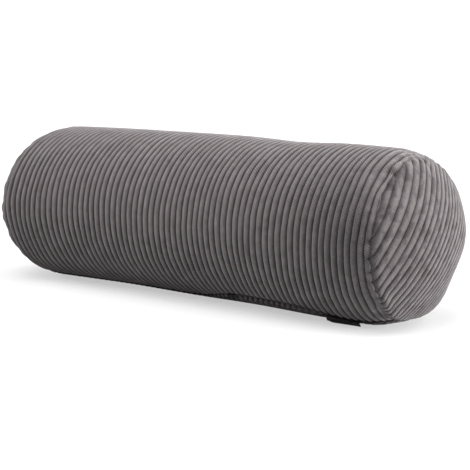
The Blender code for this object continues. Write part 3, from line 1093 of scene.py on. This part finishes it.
def corduroy_material(name, hatch_size, smooth, brushed, rib_side_shade):
    """The pile's colour times a relief, the sum of noises and slanting marks, times strokes and painted side
    light.

    The relief is the bump too. smooth and brushed are shares of the colour, where the pile lies smooth and
    where it is brushed, and rib_side_shade is how much lighter one side of a rib is painted.
    """
    made, tree, shader = painted(name, PILE_SURFACE)
    cloth = node(tree, "UVMap", uv_map="cloth").outputs["UV"]
    room = node(tree, "TexCoord").outputs["Object"]
    tone = 1.0
    for scale, detail, size in TONES:
        tone = blend_in(tree, noise(tree, room, scale, detail), size, tone)
    turn, count = MARKS
    slant = {"Vector": stretched(tree, cloth, turn, count, count), **MARKS_WAVE}
    marks = node(tree, "TexWave", slant, bands_direction="X", wave_profile="SIN").outputs["Fac"]
    scale, *shares = MARKS_SHOW
    where = between(tree, noise(tree, room, scale), *shares)
    hatch = worked_out(tree, "MULTIPLY", where, blend_in(tree, marks, hatch_size, 0.0))
    relief = worked_out(tree, "ADD", tone, hatch)
    # Painted light and shade: one side of each rib is made lighter than the other
    rib_side = node(tree, "Attribute", attribute_name="rib_side").outputs["Fac"]
    side_shade = blend_in(tree, rib_side, rib_side_shade, 1.0 + 0.5 * rib_side_shade)
    strokes = noise(tree, stretched(tree, cloth, 0.0, *STROKES), 1.0, detail=4.0)
    tinted = worked_out(tree, "MULTIPLY", side_shade, between(tree, strokes, *STROKE_RANGE, smooth, brushed))
    layers = {"Factor": 1.0, "A": pile_colour(tree), "B": worked_out(tree, "MULTIPLY", relief, tinted)}
    colour = node(tree, "Mix", layers, data_type="RGBA", blend_type="MULTIPLY").outputs["Result"]
    normal = bumped(tree, relief, strength=0.55, distance=0.0005)
    fill_in(tree, shader, {"Base Color": colour, "Normal": normal})
    return made


def tape_material():
    """A tight black weave: fine threads in the bump, and a satin surface."""
    satin = {"Roughness": 0.55, "Base Color": (0.010, 0.010, 0.011, 1.0)}
    made, tree, shader = painted("black_woven_tape", satin)
    weave = {"Vector": node(tree, "UVMap", uv_map="cloth").outputs["UV"], "Scale": 900.0}
    threads = node(tree, "TexWave", weave, bands_direction="X").outputs["Fac"]
    fill_in(tree, shader, {"Normal": bumped(tree, threads, strength=0.3, distance=0.0001)})
    return made


body_corduroy = corduroy_material(
    "charcoal_corduroy", hatch_size=0.62, smooth=1.0, brushed=0.88, rib_side_shade=0.04)
disc_corduroy = corduroy_material(
    "charcoal_corduroy_brushed", hatch_size=0.28, smooth=1.08, brushed=0.69, rib_side_shade=-0.07)
for piece, cloth in ((body, body_corduroy), (disc_right, disc_corduroy), (disc_left, disc_corduroy)):
    piece.data.materials.append(cloth)
label.data.materials.append(tape_material())
print("corduroys", body_corduroy.name, "and", disc_corduroy.name)

# %% [markdown]
# ## Put each piece on the frame
# Every piece rides on the one body of the roll and stands for its solid, which is hidden.

# %% Ride and replace
for piece, solid, slot in (
    (body, "body_panel", "corduroy"),
    (disc_right, "end_disc_right", "corduroy"),
    (disc_left, "end_disc_left", "corduroy"),
    (label, "label", "woven_tape"),
):
    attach(piece, "root")
    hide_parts(solid)

# %% [markdown]
# ## Floor, light and camera
# The roll lies on a white studio floor. A strong soft light stands low to the right, a little behind, and a
# weaker one high behind it, so that the end disc is bright and the roll's shadow falls to the front and
# left. Weak ones hang over the roll and its front, and two more and a narrow lamp on the left keep its far
# end from going dark. All but that lamp are far suns with a wide angle, because a panel near the roll would
# light one end more than the other. The floor that the camera sees glows a little, so that it comes out
# white, and takes no part in the light. A plain card just under it throws some light back up.

# %% Floor
FLOOR_SIDE = 60.0
CARD_BELOW = 0.0002


def level_plane(name, height, shade, glow):
    """A wide plane at a height, with a plain matt paint of one shade and some glow."""
    bpy.ops.mesh.primitive_plane_add(size=FLOOR_SIDE, location=(0.0, 0.0, height))
    plane = bpy.context.object
    plane.name = name
    paint, _, _ = painted(name, {
        "Base Color": (shade, shade, shade, 1.0),
        "Roughness": 0.95,
        "Specular IOR Level": 0.0,
        "Emission Color": (1.0, 1.0, 1.0, 1.0),
        "Emission Strength": glow,
    })
    plane.data.materials.append(paint)
    return plane


floor = level_plane("studio_floor", 0.0, 0.50, 0.51)
floor.visible_diffuse = False
floor.visible_glossy = False
floor.visible_shadow = False
bounce = level_plane("bounce_card", -CARD_BELOW, 0.46, 0.0)
bounce.visible_camera = False
print("floor", FLOOR_SIDE, "m wide")

# %% Lights
# Far soft lights: name, turn from the front to the right and height (degrees), strength
SUNS = (
    ("left_front", -50, 38, 0.2),
    ("left_box", -90, 8, 1.25),
    ("right_box", 110, 2, 7.5),
    ("right_back", 132, 42, 1.9),
    ("overhead", 0, 82, 1.2),
    ("front_top", 5, 60, 1.4),
)
SUN_SPREAD = math.radians(45)
# The narrow lamp on the left: its turn and height, its distance, and what it points at
LAMP_SIDE = (-52, 28)
LAMP_AWAY = 1.6
LAMP_AIM = Vector((-0.08, 0.0, 0.07))
# The room is white to the camera, and this share of it lights the roll
ROOM_GLOW = 0.06


def compass(turn, height):
    """A direction by its turn from the roll's front towards its right end, and its height over the floor."""
    turn, height = math.radians(turn), math.radians(height)
    return Vector((math.sin(turn) * math.cos(height), -math.cos(turn) * math.cos(height), math.sin(height)))


def hang(lamp, toward, where):
    """Puts a lamp in its place, shining from the direction toward."""
    holder = new_object(lamp.name, lamp)
    holder.location = where
    holder.rotation_euler = toward.to_track_quat("Z", "Y").to_euler()


for name, turn, height, strength in SUNS:
    lamp = bpy.data.lights.new(name, "SUN")
    lamp.energy = strength
    lamp.angle = SUN_SPREAD
    hang(lamp, compass(turn, height), Vector())
lamp = bpy.data.lights.new("left_lamp", "SPOT")
lamp.energy = 56.0
lamp.spot_size = math.radians(16.8)
lamp.spot_blend = 1.0
lamp.shadow_soft_size = 0.25
hang(lamp, compass(*LAMP_SIDE), LAMP_AIM + LAMP_AWAY * compass(*LAMP_SIDE))
world = bpy.data.worlds.new("pale_room")
bpy.context.scene.world = world
world.use_nodes = True
seen = node(world.node_tree, "LightPath").outputs["Is Camera Ray"]
room_light = worked_out(world.node_tree, "MULTIPLY_ADD", seen, 1.0 - ROOM_GLOW, ROOM_GLOW)
backdrop = world.node_tree.nodes["Background"]
fill_in(world.node_tree, backdrop, {"Color": (1.0, 1.0, 1.0, 1.0), "Strength": room_light})
print("lamps", len(SUNS) + 1)

# %% Camera
# Fitted to the photo's rib lines and outline: the place, and the turn and dip of the view in radians
CAMERA_PLACE = Vector((0.9295, -1.1055, 0.2943))
CAMERA_TURN = 0.6931
CAMERA_DIP = 0.1650
FRAME_PIXELS = 470
FOCAL_PIXELS = 1681.0
SENSOR = 36.0
camera_data = bpy.data.cameras.new("photo_camera")
camera_data.sensor_width = SENSOR
camera_data.lens = FOCAL_PIXELS * SENSOR / FRAME_PIXELS
camera = new_object("photo_camera", camera_data)
camera.location = CAMERA_PLACE + SHIFT
look = Vector((-math.sin(CAMERA_TURN) * math.cos(CAMERA_DIP), math.cos(CAMERA_TURN) * math.cos(CAMERA_DIP),
               -math.sin(CAMERA_DIP)))
camera.rotation_euler = look.to_track_quat("-Z", "Y").to_euler()
bpy.context.scene.camera = camera
bpy.context.scene.view_settings.view_transform = "Standard"
print("camera lens", round(camera_data.lens, 1), "mm")
